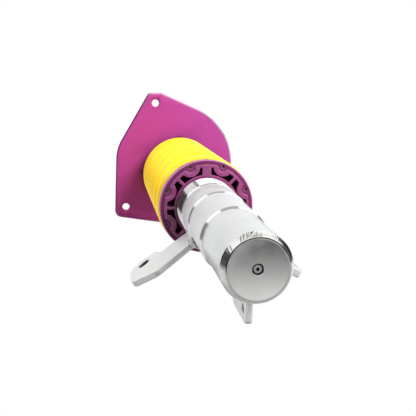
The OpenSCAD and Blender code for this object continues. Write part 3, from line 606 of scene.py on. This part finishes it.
bracket_steel = finish("bracket_steel", (0.80, 0.81, 0.79), 0.36, 0.6, (BLASTED, 1800.0, 0.000008), 0.05)
# Painted shade: the walls of the brackets' holes get a dark grey colour.
hole_painted_shade = finish("hole_painted_shade", (0.10, 0.10, 0.10), 0.5, 0.4, (BLASTED, 1800.0, 0.00001), 0.3)
arm_azimuth, fin_azimuth, hose_azimuth = 145, 90, 29.5
BRACKETS = [  # node, piece, rounding, root's radius, azimuth, and the hole's reach, height and radius
    ("sway_bar_bracket", "sway_bar_plate", 1.2, 32.5, arm_azimuth, 84, 188, 6.1),
    ("clamp_fin", "clamp_fin_plate", 1.6, 29.5, fin_azimuth, 42.75, 40, 4),
    ("hose_bracket", "hose_plate", 1.8, 31.5, hose_azimuth, 57.2, 102.5, 4.25),
]
for node, name, rounding, root_r, azimuth, reach, level, hole_r in BRACKETS:
    bracket = broken_edges(node, name, rounding * MM, 4, clamp=False, root_r=root_r * MM)
    wear(bracket, bracket_steel)
    outwards = np.array([math.cos(math.radians(azimuth)), math.sin(math.radians(azimuth))])
    centres = np.array([f.center for f in bracket.data.polygons])
    off_hole = np.hypot(centres[:, :2] @ outwards - reach * MM, centres[:, 2] - level * MM)
    bracket.data.materials.append(hole_painted_shade)
    in_hole = off_hole < (hole_r + 0.1) * MM
    bracket.data.polygons.foreach_set("material_index", in_hole.astype(np.int32))
    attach(bracket, "strut_body")


# --------------------------------------------------------------------------------------------------
# Bracket welds. A bead of steel runs right round the foot of each bracket, heaviest at the arm's lower end,
# It is bare and bright, and painted shade darkens it where it meets the tube.
def bead_loop(azimuth, half_t, low, high, tube_r, bead_r, heavy):
    """A bead on a tube. Its centre runs round a stadium of half width half_t + 0.4 bead_r from low to high.

    In the tube's skin the stadium is (across, height); its distance from the axis is the tube's radius, and
    the bead's radius is bead_r (1 + 0.12 |sin(pi run / ripple)|) plus heavy around the lower end.
    """
    end_r, ripple, margin = half_t + 0.4 * bead_r, 1.7 * MM, 1 * MM
    straight = high - low
    run = np.linspace(0, 2 * straight + 2 * math.pi * end_r, 260, endpoint=False)
    lap = np.cumsum([straight, math.pi * end_r, straight])
    up, over, down = run < lap[0], (run >= lap[0]) & (run < lap[1]), (run >= lap[1]) & (run < lap[2])
    top_turn = (run - lap[0]) / end_r
    foot_turn = (run - lap[2]) / end_r
    sides = [end_r, end_r * np.cos(top_turn), -end_r]
    across = np.select([up, over, down], sides, -end_r * np.cos(foot_turn))
    rises = [low + run, high + end_r * np.sin(top_turn), high - (run - lap[1])]
    height = np.select([up, over, down], rises, low - end_r * np.sin(foot_turn))
    out = np.sqrt(tube_r**2 - across**2)
    path = np.stack([out, across, height], -1)
    ahead = np.roll(path, -1, 0) - np.roll(path, 1, 0)
    ahead /= np.linalg.norm(ahead, axis=1)[:, None]
    skin = np.stack([out, across, 0 * out], -1) / tube_r
    side = np.cross(ahead, skin)
    near_foot = np.clip((low + margin - height) / (end_r + margin), 0, 1)
    thick = bead_r * (1 + 0.12 * np.abs(np.sin(math.pi * run / ripple))) + heavy * near_foot
    section = np.linspace(0, 2 * math.pi, 16, endpoint=False)
    wide, tall = np.cos(section)[None, :, None], np.sin(section)[None, :, None]
    points = path[:, None] + thick[:, None, None] * (side[:, None] * wide + 0.8 * skin[:, None] * tall)
    cos, sin = math.cos(azimuth), math.sin(azimuth)
    turn = np.array([[cos, -sin, 0], [sin, cos, 0], [0, 0, 1]])
    return outward(grid_mesh("bead", points @ turn.T, along=True))


def end_lump(azimuth, radius, height, tangential, radial, axial):
    """Where the run of weld stopped: an ellipsoid about a point of the tube's skin, with faint ripples."""
    over = np.linspace(0, math.pi, 25)[1:-1, None]
    round_ = np.linspace(0, 2 * math.pi, 40, endpoint=False)[None, :]
    swell = 1 + 0.05 * np.sin(6 * over)
    along = tangential * np.cos(over) * swell + 0 * round_
    out = radius + radial * np.sin(over) * np.cos(round_) * swell
    rise = height + axial * np.sin(over) * np.sin(round_) * swell
    cos, sin = math.cos(azimuth), math.sin(azimuth)
    points = np.stack([out * cos - along * sin, out * sin + along * cos, rise], -1)
    return outward(grid_mesh("lump", points, poles=True))


def axis_distance(tree):
    """How far a point lies from the strut axis."""
    place = object_place(tree)
    square_y = calc(tree, "POWER", place["Y"], 2.0)
    return calc(tree, "SQRT", calc(tree, "MULTIPLY_ADD", place["X"], place["X"], square_y))


arm, fin, hose = (math.radians(azimuth) for azimuth in (arm_azimuth, fin_azimuth, hose_azimuth))
arm_skin_r = 30.2 * MM
beads = bmesh.new()
for loop in (
    end_lump(arm + math.radians(4.5), 33.0 * MM, 147.8 * MM, 5.6 * MM, 2.5 * MM, 3.2 * MM),
    bead_loop(arm, 3 * MM, 150 * MM, 189 * MM, arm_skin_r, 1.8 * MM, 1.0 * MM),
    bead_loop(fin, 3 * MM, 30 * MM, 82 * MM, spigot_r, 1.5 * MM, 0.0),
    bead_loop(hose, 4 * MM, 90 * MM, 115 * MM, band_r, 1.6 * MM, 0.0),
):
    beads.from_mesh(loop)
bead_mesh = bpy.data.meshes.new("bracket_beads")
beads.to_mesh(bead_mesh)
beads.free()
weld_steel = finish("weld_steel", (0.78, 0.78, 0.76), 0.16, 1.0, (BLASTED, 2200.0, 0.00001), 0.15)
tree = weld_steel.node_tree
height = object_place(tree)["Z"]
tube_r = ramp(tree, height, 84 * MM, 88 * MM, spigot_r, band_r)
tube_r = calc(tree, "ADD", tube_r, ramp(tree, height, 138 * MM, 142 * MM, 0.0, arm_skin_r - band_r))
above_skin = calc(tree, "SUBTRACT", axis_distance(tree), tube_r)
# Painted shade: the bead darkens where it meets the tube's skin.
darkened(weld_steel, ramp(tree, above_skin, 0.2 * MM, 1.2 * MM, 1.0, 0.0), 0.22)
bracket_beads = wear(place_mesh("bracket_beads", bead_mesh, 60), weld_steel)
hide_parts("bracket_welds")
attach(bracket_beads, "strut_body")


# --------------------------------------------------------------------------------------------------
# Perch. A dark purple moulding screwed on the thread, with a raised spanner ring and blind windows; eight
# screws from below hold its thin plate, on which the spring's slip ring lies.
def shaded_pockets(material, low, high, share):
    """Darkens a material from a height up and nearer the axis than reach, where hardly any light gets in."""
    reach = 46 * MM
    tree = material.node_tree
    bsdf = tree.nodes["Principled BSDF"]
    inside = ramp(tree, axis_distance(tree), reach - 0.5 * MM, reach + 0.5 * MM, 1.0, 0.0)
    deep = calc(tree, "MULTIPLY", ramp(tree, object_place(tree)["Z"], low, high), inside)
    darkened(material, deep, share)
    kept = calc(tree, "SUBTRACT", 1.0, deep)
    for label in ("Coat Weight", "Specular IOR Level"):
        tree.links.new(calc(tree, "MULTIPLY", kept, bsdf.inputs[label].default_value), bsdf.inputs[label])


perch_relief = (BLASTED, 1600.0, 0.000015)
perch_purple = finish("perch_purple", (0.285, 0.038, 0.172), 0.34, 0.2, perch_relief, 0.15, coat=0.55)
shaded_pockets(perch_purple, 233.2 * MM, 236.5 * MM, 0.09)
tree = perch_purple.node_tree
# Painted shade: the low ring between the spanner ring and the rim is darkened.
past_spanner_ring = ramp(tree, axis_distance(tree), 44.9 * MM, 45.3 * MM)
inside_rim = ramp(tree, axis_distance(tree), 49.4 * MM, 49.8 * MM, 1.0, 0.0)
low_ring = calc(tree, "MULTIPLY", past_spanner_ring, inside_rim)
darkened(perch_purple, low_ring, 0.66)
bsdf = tree.nodes["Principled BSDF"]
for label in ("Coat Weight", "Specular IOR Level"):
    dull = calc(tree, "MULTIPLY_ADD", low_ring, -0.7, 1.0)
    gloss = bsdf.inputs[label].links[0].from_socket
    tree.links.new(calc(tree, "MULTIPLY", dull, gloss), bsdf.inputs[label])
# Painted light: the perch is made lighter towards +X, the side that the right lamp lights.
sideways = ramp(tree, object_place(tree)["X"], -45 * MM, 45 * MM)
darkened(perch_purple, sideways, (1.35, 1.45, 1.3))
purple_relief = (BLASTED, 1600.0, 0.00001)
# Painted highlight: the slanted faces of the rounded edges get a lighter purple.
perch_edge_highlight = finish("perch_edge_highlight", (0.60, 0.22, 0.46), 0.3, 0.3, purple_relief, 0.1, coat=0.5)
perch = broken_edges("perch_ring", "perch_casting", 0.55 * MM, clamp=False)
wear(perch, perch_purple)
perch.data.materials.append(perch_edge_highlight)
hub_r = 38 * MM
tilt = np.array([-f.normal.z for f in perch.data.polygons])
centres = np.array([f.center for f in perch.data.polygons])
edge = (tilt > 0.3) & (tilt < 0.93) & (np.hypot(centres[:, 0], centres[:, 1]) > hub_r)
perch.data.polygons.foreach_set("material_index", edge.astype(np.int32))
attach(perch, "perch")


# --------------------------------------------------------------------------------------------------
# Main spring. One steel wire of 12.4 mm wound six and a half turns, closed and ground flat at both ends,
# and powder coated. It stands on the slip ring, carried by the spring seat.
wire_r, coil_r = 6.2 * MM, 45.5 * MM
spring_foot, spring_len = 245.5 * MM, 238 * MM
turns, flat_turns, wire_start = 6.5, 0.9, math.radians(251.5)


def spring_mesh():
    """A tube round a helix. It rises by the close pitch in the closed turns and by the open pitch between.

    The height is a running mean over a sixth of a turn, so that the pitch changes smoothly, and it is cut
    off at 0 and at the spring's length, where the ends are ground.
    """
    close, ground = 2 * wire_r * 1.05, 0.4 * wire_r
    open_pitch = (spring_len - 2 * ground - 2 * flat_turns * close) / (turns - 2 * flat_turns)
    knots = np.array([-1, 0, flat_turns, turns - flat_turns, turns, turns + 1])
    rise = np.array([-1, 0, flat_turns, 0, 0, 0]) * close
    rise[3] = rise[2] + (turns - 2 * flat_turns) * open_pitch
    rise[4:] = rise[3] + np.array([flat_turns, flat_turns + 1]) * close
    along = np.linspace(0, turns, int(turns * 72) + 1)
    window = np.linspace(-1 / 12, 1 / 12, 9)
    height = ground + np.interp(along[:, None] + window, knots, rise).mean(1)
    turn = wire_start + 2 * math.pi * along
    section = np.linspace(0, 2 * math.pi, 24, endpoint=False)
    radius = coil_r + wire_r * np.cos(section)[None, :]
    level = np.clip(height[:, None] + wire_r * np.sin(section)[None, :], 0, spring_len)
    cos, sin = np.cos(turn)[:, None], np.sin(turn)[:, None]
    points = np.stack([radius * cos, radius * sin, spring_foot + level], -1)
    return outward(grid_mesh("coil", points, poles=True))


spring_yellow = finish("spring_yellow", (1.0, 0.66, 0.03), 0.34, 0.0, (BLASTED, 600.0, 0.00003), 0.04)
# Painted light: the coat glows a little, so that its shaded side stays bright.
bsdf = spring_yellow.node_tree.nodes["Principled BSDF"]
bsdf.inputs["Emission Color"].default_value = (1.0, 0.66, 0.01, 1)
bsdf.inputs["Emission Strength"].default_value = 0.26
spring = wear(place_mesh("coil", spring_mesh(), 50), spring_yellow)
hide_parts("main_spring")
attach(spring, "spring_seat")
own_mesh(spring)


# --------------------------------------------------------------------------------------------------
# Top plate. An 8 mm aluminium plate, chamfered all round, blasted and anodised, which three bolts hold to
# the tower. It is a hair thinner than its solid, which keeps its faces off those that it lies on.
plate_purple = finish("plate_purple", (0.575, 0.068, 0.315), 0.36, 0.30, (BLASTED, 1800.0, 0.00001), 0.06)
tree = plate_purple.node_tree
sideways = ramp(tree, object_place(tree)["X"], -70 * MM, 70 * MM)
darkened(plate_purple, sideways, (0.97, 1.12, 1.18))
tree.nodes["Principled BSDF"].inputs["Specular IOR Level"].default_value = 0.25
# Painted highlight and painted shade on the chamfer: a lighter purple, silver-grey towards +X and darker
# towards -X.
edge_purple = finish("edge_purple", (0.74, 0.34, 0.56), 0.20, 1.0, (BLASTED, 1800.0, 0.00001), 0.06)
tree = edge_purple.node_tree
rim_x = object_place(tree)["X"]
darkened(edge_purple, ramp(tree, rim_x, 25 * MM, 50 * MM), (0.72, 1.5, 0.98))
darkened(edge_purple, ramp(tree, rim_x, -55 * MM, -25 * MM, 1.0, 0.0), (0.42, 0.16, 0.42))
plate = broken_edges("top_plate", "camber_plate", 1.8 * MM, 1, clamp=False)
wear(plate, plate_purple)
plate.data.materials.append(edge_purple)
thinned = 0.995
middle = np.mean([v.co.z for v in plate.data.vertices])
shift = Matrix.Translation((0, 0, middle * (1 - thinned)))
plate.data.transform(shift @ Matrix.Diagonal((1, 1, thinned, 1)))
camber_turn, camber_offset, bolt_turn, bolt_circle_r = 46.5, 14 * MM, 17, 90.5 * MM
bolt_ring_w, slots_r = 8 * MM, 55 * MM
tilt = np.array([abs(f.normal.z) for f in plate.data.polygons])
centres = np.array([f.center for f in plate.data.polygons])
camber = math.radians(camber_turn)
bolt_turns = np.radians(bolt_turn + np.array([0, 120, 240]))
bolt_centre = -camber_offset * np.array([math.cos(camber), math.sin(camber)])
bolts = bolt_centre + bolt_circle_r * np.stack([np.cos(bolt_turns), np.sin(bolt_turns)], -1)
from_bolt = np.linalg.norm(centres[:, None, :2] - bolts, axis=2).min(1)
from_axis = np.hypot(centres[:, 0], centres[:, 1])
rim = (tilt > 0.3) & (tilt < 0.9) & (from_bolt > bolt_ring_w) & (from_axis > slots_r)
plate.data.polygons.foreach_set("material_index", rim.astype(np.int32))
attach(plate, "camber_plate")


# --------------------------------------------------------------------------------------------------
# Bearing housing. Turned aluminium, anodised black, which carries the bearing and slides under the plate.
# Four ears of its flange reach out under the ends of the plate's slots; its edges are broken.
black_anodised = finish("black_anodised", (0.025, 0.025, 0.028), 0.42, 0.3, (BLASTED, 1600.0, 0.00001), 0.2)
flange_rim, ear_reach, ear_turn, ear_fade = 44.5 * MM, 3.3 * MM, 48.5, 6
housing = broken_edges("bearing_housing", "bearing_carrier_housing", 0.4 * MM, 2)
wear(housing, black_anodised)
spots = np.array([v.co for v in housing.data.vertices])
span = np.hypot(spots[:, 0], spots[:, 1])
turned = np.degrees(np.arctan2(spots[:, 1], spots[:, 0])) - camber_turn
off_ear = np.abs(np.abs(np.mod(turned + 90, 180) - 90) - ear_turn)
reach = ear_reach * np.clip(2 - off_ear / ear_fade, 0, 1)
spots[:, :2] *= np.where(span > flange_rim, 1 + reach / span, 1)[:, None]
housing.data.vertices.foreach_set("co", spots.ravel())
housing.data.update()
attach(housing, "bearing_carrier")


# --------------------------------------------------------------------------------------------------
# The rest keeps its solids and gets its real finishes: screws and nuts, the damper's inner works, the seats,
# the thrust bearing, the ball joint and the two adjusters.
black_steel = finish("black_steel", (0.045, 0.045, 0.05), 0.40, 0.6, (BLASTED, 1800.0, 0.00001), 0.2)
ground_steel = finish("ground_steel", (0.70, 0.70, 0.71), 0.22, 1.0, (LATHE_MARKS, 2000.0, 0.000004))
hard_chrome = finish("hard_chrome", (0.86, 0.86, 0.88), 0.07, 1.0, (LATHE_MARKS, 3000.0, 0.000001), 0.02)
turned_brass = finish("turned_brass", (0.72, 0.52, 0.22), 0.28, 1.0, (LATHE_MARKS, 1500.0, 0.000006))
sintered_bronze = finish("sintered_bronze", (0.50, 0.30, 0.14), 0.45, 1.0, (BLASTED, 1500.0, 0.00002))
plain_aluminium = finish("plain_aluminium", (0.68, 0.68, 0.70), 0.32, 1.0, (LATHE_MARKS, 1500.0, 0.000008))
black_plastic = finish("black_plastic", (0.03, 0.03, 0.032), 0.5, 0.0, (BLASTED, 900.0, 0.00003), 0.2)
natural_nylon = finish("natural_nylon", (0.80, 0.50, 0.06), 0.5, 0.0, (BLASTED, 900.0, 0.00003), 0.1)
black_rubber = finish("black_rubber", (0.02, 0.02, 0.02), 0.7, 0.0, (BLASTED, 1200.0, 0.00003), 0.2)
pale_foam = finish("pale_foam", (0.62, 0.55, 0.34), 0.85, 0.0, (BLASTED, 1500.0, 0.0001), 0.2)
liner_cloth = finish("liner_cloth", (0.72, 0.68, 0.58), 0.6, 0.0, (BLASTED, 1800.0, 0.00002), 0.2)
knob_red = finish("knob_red", (0.45, 0.015, 0.03), 0.30, 0.7, (BLASTED, 1800.0, 0.000006), 0.1)
perch_rim = finish("perch_rim", (0.42, 0.10, 0.30), 0.3, 0.3, purple_relief, 0.1, coat=0.8)
adjuster_steel = finish("adjuster_steel", (0.5, 0.5, 0.49), 0.28, 1.0, (LATHE_MARKS, 2500.0, 0.000008), 0.1)
shaded_pockets(adjuster_steel, 3.3 * MM, 3.6 * MM, 0.02)
FINISHES = {
    black_steel: "perch_screws perch_lock_screw clamp_screws top_nut snap_ring piston_nut",
    perch_rim: "perch_plate",
    ground_steel: "pressure_tube thrust_washer_lower thrust_washer_upper needle_rollers bearing_race "
                  "bearing_ball bearing_spacer clamp_washers top_washer",
    hard_chrome: "piston_rod",
    turned_brass: "base_valve needle_cage",
    sintered_bronze: "guide_bush",
    plain_aluminium: "rod_guide piston",
    black_anodised: "gland_nut upper_seat",
    black_plastic: "dust_tube",
    natural_nylon: "slip_ring",
    black_rubber: "rod_seal rebound_stop",
    pale_foam: "bump_stop",
    liner_cloth: "bearing_liner piston_band",
    knob_red: "rebound_knob",
    adjuster_steel: "compression_adjuster",
}
for material, names in FINISHES.items():
    for name in names.split():
        wear(nodes[name], material)
